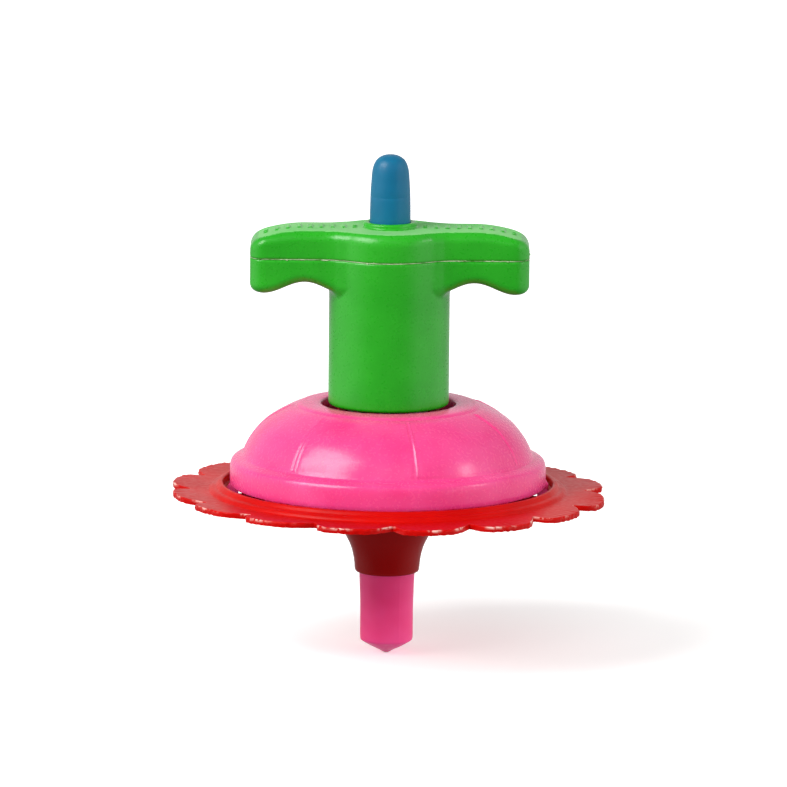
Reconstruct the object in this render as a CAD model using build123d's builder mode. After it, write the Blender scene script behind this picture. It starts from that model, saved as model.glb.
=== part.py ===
from build123d import *
import os
from math import cos, radians, sin

# Spinning top with a hand launcher. The launcher is a T handle with a tube below it. It winds
# a torsion spring, holds it on a ratchet and lets it go when the button on top is pressed.
# The origin is the tip of the top, +Z is the spin axis, and the handle lies along X.
# Lengths are in millimetres.

os.makedirs("parts", exist_ok=True)

# ---- driving dimensions ----------------------------------------------------------------

WALL = 1.4                  # moulded wall of handle and dome
RUN_GAP = 0.05              # radial clearance of a turning or sliding fit

# Top: stem, flower disc and dome
TIP_CONE_Z = 1.7
STEM_R = 4.3
STEM_STRAIGHT_TOP = 8.0
STEM_SHOULDER_R = 4.5
SPIGOT_R = 3.6
SPIGOT_TOP = 24.5
HUB_BOTTOM = 13.5
DISC_BOTTOM = 26.0
DISC_TOP = 26.9
LOBES = 16
LOBE_R = 35.4
NOTCH_R = 31.7
NOTCH_ANGLE = -88.0         # direction of one notch, just right of the front
RIDGE_IN_R = 26.8
RIDGE_OUT_R = 28.95
RIDGE_TOP = 28.2
RIDGE_OUT_TOP = 27.4         # its top slopes down outwards
SLOT_IN_R = 22.4
SLOT_OUT_R = 26.3
SLOT_HALF = 4.0
SOCKET_OUT_R = 8.2
SOCKET_IN_R = 7.0
SOCKET_TOP = 40.4
RIB_IN_R = 4.7
RIB_WIDTH = 2.0
DOGS = 3
POST_R = 2.0
POST_TOP = 35.5
MOUTH_R = 10.9
DOME_TOP = 41.4
LIP_R = 13.4
RIM_R = 25.7
SHELL_FOOT = (23.6, 32.9)   # where the shell meets the rim
RIM_TOP = 32.1
RIM_BOTTOM = 28.3
HOOKS = 4
HOOK_WIDTH = 3.0
HOOK_BARB_R = 27.0
HOOK_BOTTOM = 24.6

# Handle
BAR_HALF = 22.6
BAR_TOP = 70.2
BAR_TIP_Z = 59.9
SEAM_Z = 65.6
WING_HALF = 5.9
BULGE_R = 9.8
END_CORNER_R = 2.6
TUBE_R = 9.8
BORE_R = TUBE_R - WALL
TUBE_BOTTOM = 41.2
COLLAR_R = 4.3
COLLAR_TOP = 71.1
DOWEL_R = 1.0
DOWEL_X = (12.6, 18.0)
DOWEL_LENGTH = 2.6
BAR_EDGE_R = 1.9
TIP_EDGE_R = 1.5

# Button
BUTTON_R = 3.3
BUTTON_NOSE_R = 3.05
BUTTON_NOSE_Z = 78.6
BUTTON_TOP = 82.1
BUTTON_HOLE_R = BUTTON_R + RUN_GAP
FLANGE_R = 4.8
FLANGE_BOTTOM = 67.2
FLANGE_TOP = 68.7
ROD_R = 1.7
ROD_END = POST_TOP + 0.3
TRIP_IN_R = 6.0
TRIP_OUT_R = 7.0
TRIP_WIDTH = 1.2
TRIP_END = 58.0
TRIP_ANGLE = 8.0

# Launcher mechanism
BULKHEAD_BOTTOM = 57.6
BULKHEAD_TOP = 58.9
SPINDLE_R = 3.4
SPINDLE_BORE_R = 1.9
JOURNAL_R = 2.9
JOURNAL_TOP = 58.7
FLAT_HALF = 2.5
CLAW_BOTTOM = 36.3
CLAW_TOP = 41.0
CLAW_HUB_R = 4.3
CLAW_R = 6.75
CLAW_SPAN = 44.0
WHEEL_BOTTOM = 50.0
WHEEL_TOP = 52.0
WHEEL_TIP_R = 7.0
WHEEL_ROOT_R = 6.2
TEETH = 12
CLIP_BOTTOM = 52.1
CLIP_TOP = 52.6
CLIP_R = 4.6
GROOVE_R = 2.55
BUSH_BOTTOM = 41.6
BUSH_TOP = 43.2
WASHER_R = 5.6
MAINSPRING_R = 5.6
MAINSPRING_WIRE = 0.5
MAINSPRING_BOTTOM = 43.55
MAINSPRING_TOP = 49.7
MAINSPRING_TURNS = 9
BUTTON_SPRING_R = 3.8
BUTTON_SPRING_WIRE = 0.5
BUTTON_SPRING_TURNS = 5
PAWL_TIP_R = 6.6
PAWL_ROOT_R = 8.1
PAWL_ROOT_ANGLE = 42.0
PAWL_THICK = 0.25
PAWL_TOP = 57.4
LEG_LENGTH = 1.0
LEG_ANGLE = 4.0


def around(radius, angle):
    """Point in the XY plane at a radius and an angle in degrees."""
    return (radius * cos(radians(angle)), radius * sin(radians(angle)))


def save(piece, name):
    """Label a finished piece and write its STEP file."""
    piece.part.label = name
    export_step(piece.part, f"parts/{name}.step")


# ---- spin stem: shaft with a blunt cone, pressed into the hub --------------------------

with BuildPart() as spin_stem:
    with BuildSketch(Plane.XZ):
        with BuildLine():
            Polyline(
                (0, 0),
                (STEM_R - 0.06, TIP_CONE_Z),
                (STEM_R, TIP_CONE_Z + 0.15),
                (STEM_R, STEM_STRAIGHT_TOP),
                (STEM_SHOULDER_R, HUB_BOTTOM),
                (SPIGOT_R, HUB_BOTTOM),
                (SPIGOT_R, SPIGOT_TOP),
                (0, SPIGOT_TOP),
                close=True,
            )
        make_face()
    revolve(axis=Axis.Z)
save(spin_stem, "spin_stem")

# ---- flower disc: lobed plate, ridge, hub below and drive socket above -----------------


def lobe_points(index):
    """Corners of one lobe: a blunt rise from its notch, a long crown and a slant back."""
    pitch = 360 / LOBES
    start = NOTCH_ANGLE + index * pitch
    shares = ((NOTCH_R, 0), (LOBE_R - 0.5, 0.1), (LOBE_R, 0.38), (LOBE_R - 0.5, 0.72))
    return [around(radius, start + share * pitch) for radius, share in shares]


with BuildPart() as flower_disc:
    with BuildSketch(Plane.XY.offset(DISC_BOTTOM)):
        with BuildLine():
            for lobe in range(LOBES):
                notch, rise, crown, corner = lobe_points(lobe)
                Line(notch, rise)
                ThreePointArc(rise, crown, corner)
                Line(corner, lobe_points(lobe + 1)[0])
        make_face()
    extrude(amount=DISC_TOP - DISC_BOTTOM)
    with BuildSketch(Plane.XZ):
        with BuildLine():
            Line((SPIGOT_R, HUB_BOTTOM), (5.1, HUB_BOTTOM))
            ThreePointArc((5.1, HUB_BOTTOM), (5.45, 13.65), (5.6, 14.0))
            Spline((5.6, 14.0), (5.85, 16.1), (7.1, 19.3), (11.6, DISC_BOTTOM + 0.2))
            Polyline(
                (11.6, DISC_BOTTOM + 0.2),
                (SOCKET_OUT_R, DISC_TOP),
                (SOCKET_OUT_R, SOCKET_TOP),
                (SOCKET_IN_R, SOCKET_TOP),
                (SOCKET_IN_R, DISC_TOP),
                (POST_R, DISC_TOP),
                (POST_R, POST_TOP),
                (0, POST_TOP),
                (0, SPIGOT_TOP),
                (SPIGOT_R, SPIGOT_TOP),
                (SPIGOT_R, HUB_BOTTOM),
            )
        make_face()
    revolve(axis=Axis.Z)
    with BuildSketch(Plane.XZ):
        with BuildLine():
            Polyline(
                (RIDGE_IN_R, DISC_TOP - 0.2),
                (RIDGE_IN_R, RIDGE_TOP - 0.15),
                (RIDGE_IN_R + 0.15, RIDGE_TOP),
                (RIDGE_OUT_R, RIDGE_OUT_TOP),
                (RIDGE_OUT_R, DISC_TOP - 0.2),
                close=True,
            )
        make_face()
    revolve(axis=Axis.Z)
    # Ribs in the socket, which the claws drive
    with BuildSketch(Plane.XY.offset(DISC_TOP)):
        with PolarLocations((RIB_IN_R + SOCKET_IN_R + 0.3) / 2, DOGS):
            Rectangle(SOCKET_IN_R + 0.3 - RIB_IN_R, RIB_WIDTH)
    extrude(amount=SOCKET_TOP - DISC_TOP)
    # Windows for the dome's snap hooks
    with BuildSketch(Plane.XY.offset(DISC_BOTTOM)):
        with PolarLocations((SLOT_IN_R + SLOT_OUT_R) / 2, HOOKS):
            Rectangle(SLOT_OUT_R - SLOT_IN_R, 2 * SLOT_HALF)
    extrude(amount=DISC_TOP - DISC_BOTTOM, mode=Mode.SUBTRACT)
save(flower_disc, "flower_disc")

# ---- dome: thin shell with a mouth for the launcher and hooks under its rim ------------

with BuildPart() as dome:
    with BuildSketch(Plane.XZ):
        with BuildLine():
            Line((MOUTH_R, DOME_TOP), (LIP_R, DOME_TOP))
            Spline(
                (LIP_R, DOME_TOP), (16.2, 40.6), (20.0, 38.3), (22.3, 35.6), SHELL_FOOT,
                tangents=[(1, -0.15), (0.3, -1)],
            )
            Polyline(
                SHELL_FOOT,
                (23.9, RIM_TOP + 0.5),
                (25.2, RIM_TOP),
                (RIM_R, RIM_TOP - 0.6),
                (RIM_R, RIM_BOTTOM),
                (RIM_R - WALL, RIM_BOTTOM),
                (RIM_R - WALL, 30.7),
                (22.3, 32.0),
            )
            Spline(
                (22.3, 32.0), (21.0, 34.9), (19.1, 37.1), (15.8, 39.2), (12.4, 39.9),
                tangents=[(-0.3, 1), (-1, 0.15)],
            )
            Polyline((12.4, 39.9), (12.4, 38.6), (MOUTH_R, 38.6), (MOUTH_R, DOME_TOP))
        make_face()
    revolve(axis=Axis.Z)
    # Feet that stand on the disc
    with BuildSketch(Plane.XY.offset(DISC_TOP)):
        with PolarLocations(RIM_R - WALL, HOOKS, start_angle=180 / HOOKS):
            Rectangle(2 * WALL - 1.2, 5)
    extrude(amount=RIM_BOTTOM + 0.8 - DISC_TOP)
    # Hooks with a barb that catches under the disc
    with BuildSketch(Plane.XY.offset(HOOK_BOTTOM)):
        with PolarLocations(RIM_R - WALL / 2 - 0.1, HOOKS):
            Rectangle(WALL - 0.2, HOOK_WIDTH)
    extrude(amount=RIM_BOTTOM + 0.5 - HOOK_BOTTOM)
    with BuildSketch(Plane.XY.offset(HOOK_BOTTOM)):
        with PolarLocations((RIM_R - 0.5 + HOOK_BARB_R) / 2, HOOKS):
            Rectangle(HOOK_BARB_R - RIM_R + 0.5, HOOK_WIDTH)
    extrude(amount=DISC_BOTTOM - 0.1 - HOOK_BOTTOM)
save(dome, "dome")

# ---- handle: one bar shape, cut at the seam into cap and body --------------------------


def bar_block(inset, low_end):
    """The T bar as a solid: its plan shape cut to its side shape, both inset by a wall."""
    half = BAR_HALF - inset
    top = BAR_TOP - inset
    tip = BAR_TIP_Z + inset
    with BuildPart() as bar:
        with BuildSketch(Plane.XY.offset(low_end)):
            Circle(BULGE_R - inset)
            RectangleRounded(2 * half, 2 * (WING_HALF - inset), END_CORNER_R - inset / 2)
            waist = [
                v for v in vertices() if 7 < abs(v.X) < 12 and abs(v.Y) < BULGE_R - 2
            ]
            fillet(waist, radius=8)
        extrude(amount=BAR_TOP - low_end)
        with BuildSketch(Plane.XZ):
            with BuildLine():
                Line((0, top), (13.8, top))
                TangentArc((13.8, top), (half, top - 1.95), tangent=(1, 0))
                Polyline((half, top - 1.95), (half, tip), (20.4, tip))
                Spline(
                    (20.4, tip), (17.0, tip + 0.95), (13.7, tip + 1.85), (10.4, tip + 1.0), (9.0, tip),
                    tangents=[(-1, 0), (-0.7, -1)],
                )
                Polyline((9.0, tip), (9.0, low_end), (0, low_end), (0, top))
            make_face()
            mirror(about=Plane.YZ)
        extrude(amount=2 * BULGE_R, both=True, mode=Mode.INTERSECT)
    return bar.part


outer_bar = bar_block(0, BULKHEAD_BOTTOM)
inner_bar = bar_block(WALL, BULKHEAD_TOP)
dowel_places = [(side * x, 0) for side in (-1, 1) for x in DOWEL_X]

with BuildPart() as handle_block:
    add(outer_bar)
    upper = [e for e in edges() if e.center().Z > BAR_TOP - 3.2 and abs((e % 0.5).Z) < 0.5]
    fillet(upper, radius=BAR_EDGE_R)
    lower = [
        e for e in edges()
        if abs(e.center().X) > TUBE_R and e.center().Z < SEAM_Z - 2 and abs((e % 0.5).Z) < 0.8
    ]
    fillet(lower, radius=TIP_EDGE_R)

with BuildPart() as handle_cap:
    add(handle_block.part)
    split(bisect_by=Plane.XY.offset(SEAM_Z), keep=Keep.TOP)
    add(inner_bar, mode=Mode.SUBTRACT)
    # Collar round the button
    with BuildSketch(Plane.XY.offset(BAR_TOP - WALL)):
        Circle(COLLAR_R)
    extrude(amount=COLLAR_TOP - BAR_TOP + WALL)
    fillet(handle_cap.edges().group_by(Axis.Z)[-1], radius=0.3)
    # Dowels that press into the body
    with BuildSketch(Plane.XY.offset(SEAM_Z)):
        with Locations(*dowel_places):
            Circle(DOWEL_R + 0.8)
    extrude(amount=BAR_TOP - WALL / 2 - 0.6 - SEAM_Z)
    with BuildSketch(Plane.XY.offset(SEAM_Z)):
        with Locations(*dowel_places):
            Circle(DOWEL_R)
    extrude(amount=-DOWEL_LENGTH)
    with BuildSketch(Plane.XY.offset(BAR_TOP - 2 * WALL)):
        Circle(BUTTON_HOLE_R)
    extrude(amount=4 * WALL, mode=Mode.SUBTRACT)
save(handle_cap, "handle_cap")

pawl_tip = Vector(*around(PAWL_TIP_R, 0), 0)
pawl_root = Vector(*around(PAWL_ROOT_R, PAWL_ROOT_ANGLE), 0)
pawl_along = (pawl_root - pawl_tip).normalized()

with BuildPart() as ratchet_pawl:
    # Leaf spring whose free end stands in front of a ratchet tooth
    pawl_middle = (pawl_tip + pawl_root) / 2
    with BuildSketch(Plane(origin=pawl_middle + (0, 0, WHEEL_BOTTOM), x_dir=pawl_along)):
        Rectangle((pawl_root - pawl_tip).length, PAWL_THICK)
    extrude(amount=PAWL_TOP - WHEEL_BOTTOM)
save(ratchet_pawl, "ratchet_pawl")

# Space inside the wings, with a boss left round each dowel
with BuildPart() as wing_hollow:
    add(inner_bar)
    with BuildSketch(Plane.XY.offset(BULKHEAD_TOP)):
        with Locations(*dowel_places):
            Circle(DOWEL_R + 0.8)
    extrude(amount=BAR_TOP - BULKHEAD_TOP, mode=Mode.SUBTRACT)

with BuildPart() as handle_body:
    add(handle_block.part)
    split(bisect_by=Plane.XY.offset(SEAM_Z), keep=Keep.BOTTOM)
    add(wing_hollow.part, mode=Mode.SUBTRACT)
    with BuildSketch(Plane.XY.offset(SEAM_Z)):
        with Locations(*dowel_places):
            Circle(DOWEL_R)
    extrude(amount=-DOWEL_LENGTH, mode=Mode.SUBTRACT)
    # Tube, whose wall runs on up to the seam
    with BuildSketch(Plane.XY.offset(TUBE_BOTTOM)):
        Circle(TUBE_R)
        Circle(BORE_R, mode=Mode.SUBTRACT)
    extrude(amount=SEAM_Z - TUBE_BOTTOM)
    foot = handle_body.edges().filter_by(GeomType.CIRCLE).group_by(Axis.Z)[0]
    fillet(foot.sort_by(SortBy.RADIUS)[-1], radius=0.5)
    # Bulkhead: bearing for the spindle and a window for the trip finger
    with BuildSketch(Plane.XY.offset(BULKHEAD_BOTTOM)):
        Circle(JOURNAL_R + RUN_GAP)
        with Locations(Location((0, 0), TRIP_ANGLE)):
            with Locations(((TRIP_IN_R + TRIP_OUT_R) / 2, 0)):
                Rectangle(TRIP_OUT_R - TRIP_IN_R + 0.3, TRIP_WIDTH + 0.3)
    extrude(amount=BULKHEAD_TOP - BULKHEAD_BOTTOM, mode=Mode.SUBTRACT)
    # Lug that grips the root of the pawl
    with BuildSketch(Plane.XY.offset(WHEEL_BOTTOM)):
        with BuildLine():
            lug_angles = (PAWL_ROOT_ANGLE - 3, PAWL_ROOT_ANGLE + 12)
            Line(around(7.4, lug_angles[0]), around(BORE_R + 0.2, lug_angles[0]))
            Line(around(BORE_R + 0.2, lug_angles[0]), around(BORE_R + 0.2, lug_angles[1]))
            Line(around(BORE_R + 0.2, lug_angles[1]), around(7.4, lug_angles[1]))
            Line(around(7.4, lug_angles[1]), around(7.4, lug_angles[0]))
        make_face()
    extrude(amount=BULKHEAD_BOTTOM - WHEEL_BOTTOM)
    add(ratchet_pawl.part, mode=Mode.SUBTRACT)
save(handle_body, "handle_body")

# ---- push button with its rod and trip finger ------------------------------------------

with BuildPart() as push_button:
    with BuildSketch(Plane.XZ):
        with BuildLine():
            Spline(
                (BUTTON_NOSE_R, BUTTON_NOSE_Z), (1.95, 81.3), (0, BUTTON_TOP),
                tangents=[(0, 1), (-1, 0)],
            )
            Polyline(
                (BUTTON_NOSE_R, BUTTON_NOSE_Z),
                (BUTTON_R, COLLAR_TOP),
                (BUTTON_R, FLANGE_TOP),
                (FLANGE_R, FLANGE_TOP),
                (FLANGE_R, FLANGE_BOTTOM),
                (ROD_R, FLANGE_BOTTOM),
                (ROD_R, ROD_END),
                (0, ROD_END),
                (0, BUTTON_TOP),
            )
        make_face()
    revolve(axis=Axis.Z)
    with BuildSketch(Plane.XY.offset(FLANGE_BOTTOM)):
        with Locations(Location((0, 0), TRIP_ANGLE)):
            with Locations((TRIP_OUT_R / 2 + 1.5, 0)):
                Rectangle(TRIP_OUT_R - 3, TRIP_WIDTH)
    extrude(amount=FLANGE_TOP - FLANGE_BOTTOM)
    with BuildSketch(Plane.XY.offset(TRIP_END)):
        with Locations(Location((0, 0), TRIP_ANGLE)):
            with Locations(((TRIP_IN_R + TRIP_OUT_R) / 2, 0)):
                Rectangle(TRIP_OUT_R - TRIP_IN_R, TRIP_WIDTH)
    extrude(amount=FLANGE_BOTTOM - TRIP_END)
save(push_button, "push_button")


def coil(radius, wire, low, high, turns):
    """A round-wire helical spring between two heights of its wire's centre."""
    with BuildPart() as spring:
        with BuildLine():
            path = Helix((high - low) / turns, high - low, radius, center=(0, 0, low))
        with BuildSketch(Plane(origin=path @ 0, z_dir=path % 0)):
            Circle(wire / 2)
        sweep(path=path, is_frenet=True)
    return spring


button_spring = coil(
    BUTTON_SPRING_R,
    BUTTON_SPRING_WIRE,
    BULKHEAD_TOP + BUTTON_SPRING_WIRE / 2 + RUN_GAP,
    FLANGE_BOTTOM - BUTTON_SPRING_WIRE / 2 - RUN_GAP,
    BUTTON_SPRING_TURNS,
)
save(button_spring, "button_spring")

# ---- spindle with its claws ------------------------------------------------------------

with BuildPart() as spindle:
    with BuildSketch(Plane.XZ):
        with BuildLine():
            Polyline(
                (SPINDLE_BORE_R, CLAW_BOTTOM),
                (CLAW_HUB_R, CLAW_BOTTOM),
                (CLAW_HUB_R, CLAW_TOP),
                (SPINDLE_R, CLAW_TOP),
                (SPINDLE_R, WHEEL_BOTTOM),
                (JOURNAL_R, WHEEL_BOTTOM),
                (JOURNAL_R, CLIP_BOTTOM),
                (GROOVE_R, CLIP_BOTTOM),
                (GROOVE_R, CLIP_TOP),
                (JOURNAL_R, CLIP_TOP),
                (JOURNAL_R, JOURNAL_TOP),
                (SPINDLE_BORE_R, JOURNAL_TOP),
                close=True,
            )
        make_face()
    revolve(axis=Axis.Z)
    # Two flats that key the ratchet wheel
    with BuildSketch(Plane.XY.offset(WHEEL_BOTTOM)):
        with Locations((FLAT_HALF + 0.5, 0), (-FLAT_HALF - 0.5, 0)):
            Rectangle(1, 2 * JOURNAL_R)
    extrude(amount=WHEEL_TOP - WHEEL_BOTTOM, mode=Mode.SUBTRACT)
    # Claws, each just behind a rib of the drive socket
    with BuildSketch(Plane.XY.offset(CLAW_BOTTOM)):
        for claw in range(DOGS):
            lead = claw * 360 / DOGS - 16
            with BuildLine():
                Line(around(CLAW_HUB_R - 0.5, lead), around(CLAW_R, lead))
                ThreePointArc(
                    around(CLAW_R, lead),
                    around(CLAW_R, lead - CLAW_SPAN / 2),
                    around(CLAW_R, lead - CLAW_SPAN),
                )
                Line(around(CLAW_R, lead - CLAW_SPAN), around(CLAW_HUB_R - 0.5, lead - CLAW_SPAN))
                Line(around(CLAW_HUB_R - 0.5, lead - CLAW_SPAN), around(CLAW_HUB_R - 0.5, lead))
            make_face()
    extrude(amount=CLAW_TOP - CLAW_BOTTOM)
save(spindle, "spindle")

# ---- ratchet wheel, clip, washer and bush ----------------------------------------------

with BuildPart() as ratchet_wheel:
    with BuildSketch(Plane.XY.offset(WHEEL_BOTTOM)):
        with BuildLine():
            for tooth in range(TEETH):
                face = tooth * 360 / TEETH - 0.8
                Line(around(WHEEL_TIP_R, face), around(WHEEL_ROOT_R, face))
                Line(around(WHEEL_ROOT_R, face), around(WHEEL_TIP_R, face + 360 / TEETH))
        make_face()
        # Bore with two flats
        with BuildSketch(mode=Mode.SUBTRACT):
            Circle(JOURNAL_R)
            Rectangle(2 * FLAT_HALF, 2 * JOURNAL_R, mode=Mode.INTERSECT)
        # Hole for the upper leg of the mainspring
        with Locations(around(MAINSPRING_R, -LEG_ANGLE)):
            Circle(MAINSPRING_WIRE / 2 + RUN_GAP, mode=Mode.SUBTRACT)
    extrude(amount=WHEEL_TOP - WHEEL_BOTTOM)
save(ratchet_wheel, "ratchet_wheel")

with BuildPart() as retaining_clip:
    with BuildSketch(Plane.XY.offset(CLIP_BOTTOM)):
        Circle(CLIP_R)
        Circle(GROOVE_R, mode=Mode.SUBTRACT)
        with Locations((-CLIP_R, 0)):
            Rectangle(2 * CLIP_R, 2 * GROOVE_R - 0.8, mode=Mode.SUBTRACT)
    extrude(amount=CLIP_TOP - CLIP_BOTTOM)
save(retaining_clip, "retaining_clip")

with BuildPart() as thrust_washer:
    with BuildSketch(Plane.XY.offset(CLAW_TOP + RUN_GAP)):
        Circle(WASHER_R)
        Circle(SPINDLE_R + RUN_GAP, mode=Mode.SUBTRACT)
    extrude(amount=BUSH_BOTTOM - CLAW_TOP - 2 * RUN_GAP)
save(thrust_washer, "thrust_washer")

with BuildPart() as end_bush:
    with BuildSketch(Plane.XY.offset(BUSH_BOTTOM)):
        Circle(BORE_R)
        Circle(SPINDLE_R + RUN_GAP, mode=Mode.SUBTRACT)
    extrude(amount=BUSH_TOP - BUSH_BOTTOM)
    # Hole for the lower leg of the mainspring
    with BuildSketch(Plane.XY.offset(BUSH_TOP)):
        with Locations(around(MAINSPRING_R, LEG_ANGLE)):
            Circle(MAINSPRING_WIRE / 2 + RUN_GAP)
    extrude(amount=-LEG_LENGTH - 0.2, mode=Mode.SUBTRACT)
save(end_bush, "end_bush")

# ---- mainspring: a torsion coil with a leg up into the wheel and one down into the bush --

mainspring_coil = coil(
    MAINSPRING_R, MAINSPRING_WIRE, MAINSPRING_BOTTOM, MAINSPRING_TOP, MAINSPRING_TURNS
)
with BuildPart() as mainspring:
    add(mainspring_coil.part)
    lower_leg = (MAINSPRING_BOTTOM - LEG_LENGTH, LEG_ANGLE)
    upper_leg = (MAINSPRING_TOP - MAINSPRING_WIRE / 4, -LEG_ANGLE)
    for leg_bottom, leg_angle in (lower_leg, upper_leg):
        with BuildSketch(Plane.XY.offset(leg_bottom)):
            with Locations(around(MAINSPRING_R, leg_angle)):
                Circle(MAINSPRING_WIRE / 2)
        extrude(amount=LEG_LENGTH + MAINSPRING_WIRE / 4)
save(mainspring, "mainspring")
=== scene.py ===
from math import cos, pi, radians, sin

import bmesh
import bpy
import numpy as np
from mathutils import Matrix, Vector


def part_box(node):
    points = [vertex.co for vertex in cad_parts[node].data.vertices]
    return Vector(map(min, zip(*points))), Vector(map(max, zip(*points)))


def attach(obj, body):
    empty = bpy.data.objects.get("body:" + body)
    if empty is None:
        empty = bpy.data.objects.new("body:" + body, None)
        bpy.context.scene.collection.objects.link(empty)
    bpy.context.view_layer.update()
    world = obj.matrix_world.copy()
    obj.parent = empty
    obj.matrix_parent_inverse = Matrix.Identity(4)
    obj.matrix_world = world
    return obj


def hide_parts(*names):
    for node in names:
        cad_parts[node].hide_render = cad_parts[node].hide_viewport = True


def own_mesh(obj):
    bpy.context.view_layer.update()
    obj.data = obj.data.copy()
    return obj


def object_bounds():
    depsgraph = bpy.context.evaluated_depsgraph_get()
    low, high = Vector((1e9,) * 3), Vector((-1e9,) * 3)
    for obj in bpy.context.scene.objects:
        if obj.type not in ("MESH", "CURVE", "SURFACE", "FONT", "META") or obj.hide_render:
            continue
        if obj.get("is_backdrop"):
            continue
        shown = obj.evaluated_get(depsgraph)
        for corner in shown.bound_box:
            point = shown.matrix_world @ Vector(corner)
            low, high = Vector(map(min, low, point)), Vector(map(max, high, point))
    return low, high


# Spinning top on its hand launcher. Lengths in this script are in millimetres until a mesh is
# made. +Z is the spin axis, the handle lies along X, and the viewer stands at -Y.

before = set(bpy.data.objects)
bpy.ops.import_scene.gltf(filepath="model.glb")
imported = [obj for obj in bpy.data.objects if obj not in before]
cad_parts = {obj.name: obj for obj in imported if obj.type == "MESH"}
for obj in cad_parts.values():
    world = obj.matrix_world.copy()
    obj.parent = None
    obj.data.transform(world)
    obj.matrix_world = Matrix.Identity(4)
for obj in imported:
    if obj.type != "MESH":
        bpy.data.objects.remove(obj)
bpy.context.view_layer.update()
MM = 0.001


def box_mm(node):
    """Lowest and highest corner of a CAD node in millimetres."""
    low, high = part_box(node)
    return low / MM, high / MM


body_low, body_high = box_mm("handle_body")
cap_high = box_mm("handle_cap")[1]
dome_low, dome_high = box_mm("dome")
disc_low, disc_high = box_mm("flower_disc")
button_low, button_high = box_mm("push_button")
stem_high = box_mm("spin_stem")[1]

# ---- levels and radii ------------------------------------------------------------------

# Handle. The wings' underside lies at TIP_Z and arches up by ARCH over each finger
BAR_HALF = body_high.x
TUBE_R = body_high.y
TUBE_FOOT = body_low.z
SEAM = body_high.z
SEAM_GAP = 0.05
COLLAR_TOP = cap_high.z
COLLAR_R = 4.3
BAR_TOP = COLLAR_TOP - 0.9
FLAT_HALF = 13.8
END_FALL = 1.95
TIP_Z = SEAM - 5.7
ARCH = 1.85
ARCH_X = 13.7
ARCH_REACH_IN, ARCH_REACH_OUT = 6.4, 6.7
WING_HALF = 5.9
END_R = 2.6
WAIST_R = 8.0
WALL = 1.4
BORE_R = TUBE_R - WALL
BULKHEAD = (57.6, 58.9)
BUTTON_HOLE_R = 3.38
BEARING_R = 2.95
DOWELS = (12.6, 18.0)
DOWEL_R = 1.0
DOWEL_LENGTH = 2.6
DOWEL_HOLE_R = 1.05
DOWEL_HOLE_DEPTH = 2.8
BOSS_R = 1.8
LUG = (7.4, 8.6)
LUG_HALF = 1.05
LUG_FOOT = 50.0
LUG_TURN = radians(46.5)

# Button. Its trip finger goes down through a slot in the bulkhead, beside the bearing
FINGER_TURN = radians(8)
SLOT_X, SLOT_HALF_LONG, SLOT_HALF_WIDE = 6.5, 0.65, 0.75
ROD_R = 1.7
FLANGE = (67.2, 68.7)
FLANGE_R = 4.8

# Disc, from the hub's foot up to the drive socket's top
HUB_FOOT = disc_low.z
SOCKET_TOP = disc_high.z
PLATE = (26.0, 26.9)
RIDGE_R = 26.8
RIDGE_TOP = 28.35
WINDOW = (22.4, 26.3)
LOBES = 16
LOBES_FROM = 29.3
NOTCH_R = 31.7
LOBE_R = 35.4
NOTCH_ANGLE = radians(-88)

# Dome. The hooks end a little above the CAD's, so that none shows under a notch of the disc
HOOK_FOOT = dome_low.z + 0.5
BARB_R = dome_high.x
RIM_R = 25.7
RIM_INNER_R = 24.3
RIM_FOOT = 28.0
MOUTH_R = 10.9
PETALS = 7
PETAL_ANGLE = radians(-90 + 11.5)

# Meshes: the angle in degrees at which an edge is sharp, and a small step to measure slopes
SHARP = 50
PROBE = 0.01


# ---- small tools -----------------------------------------------------------------------

def ease(t):
    """Smooth step from 0 to 1."""
    t = np.clip(t, 0, 1)
    return t * t * (3 - 2 * t)


def ripple(t, seed, low, high):
    """Smooth periodic noise of about unit size along an angle, from waves low to high."""
    rng = np.random.default_rng(seed)
    waves = np.arange(low, high)
    phases = rng.uniform(0, 2 * pi, len(waves))
    return np.sin(np.multiply.outer(t, waves) + phases).sum(-1) / np.sqrt(len(waves) / 2)


def turn(a, b):
    """Smallest signed angle from b to a."""
    return (a - b + pi) % (2 * pi) - pi


def curve(points, steps):
    """Smooth line through a few points: a Catmull-Rom spline, steps points a span."""
    p = np.array([points[0], *points, points[-1]], float)
    t = np.linspace(0, 1, steps, endpoint=False)[:, None]
    spans = []
    for a, b, c, d in zip(p, p[1:], p[2:], p[3:]):
        spans.append(
            0.5 * (2 * b + (c - a) * t + (2 * a - 5 * b + 4 * c - d) * t**2 + (3 * b - a - 3 * c + d) * t**3)
        )
    return [tuple(q) for q in np.vstack([*spans, p[-1:]])]


def make(name, verts, faces, body, materials, sharp=None, flash_and_glint=None):
    """Mesh object from millimetre points, shaded smooth, riding on a body."""
    mesh = bpy.data.meshes.new(name)
    mesh.from_pydata((np.asarray(verts) * MM).tolist(), [], faces)
    if flash_and_glint is not None:
        mesh.attributes.new("flash_and_glint", "FLOAT", "POINT").data.foreach_set("value", flash_and_glint.astype(np.float32))
    work = bmesh.new()
    work.from_mesh(mesh)
    bmesh.ops.remove_doubles(work, verts=work.verts, dist=1e-7)
    bmesh.ops.recalc_face_normals(work, faces=work.faces)
    work.to_mesh(mesh)
    work.free()
    mesh.polygons.foreach_set("use_smooth", [True] * len(mesh.polygons))
    if sharp:
        mesh.set_sharp_from_angle(angle=radians(sharp))
    obj = bpy.data.objects.new(name, mesh)
    bpy.context.scene.collection.objects.link(obj)
    for material in materials:
        mesh.materials.append(material)
    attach(obj, body)
    return obj


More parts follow.
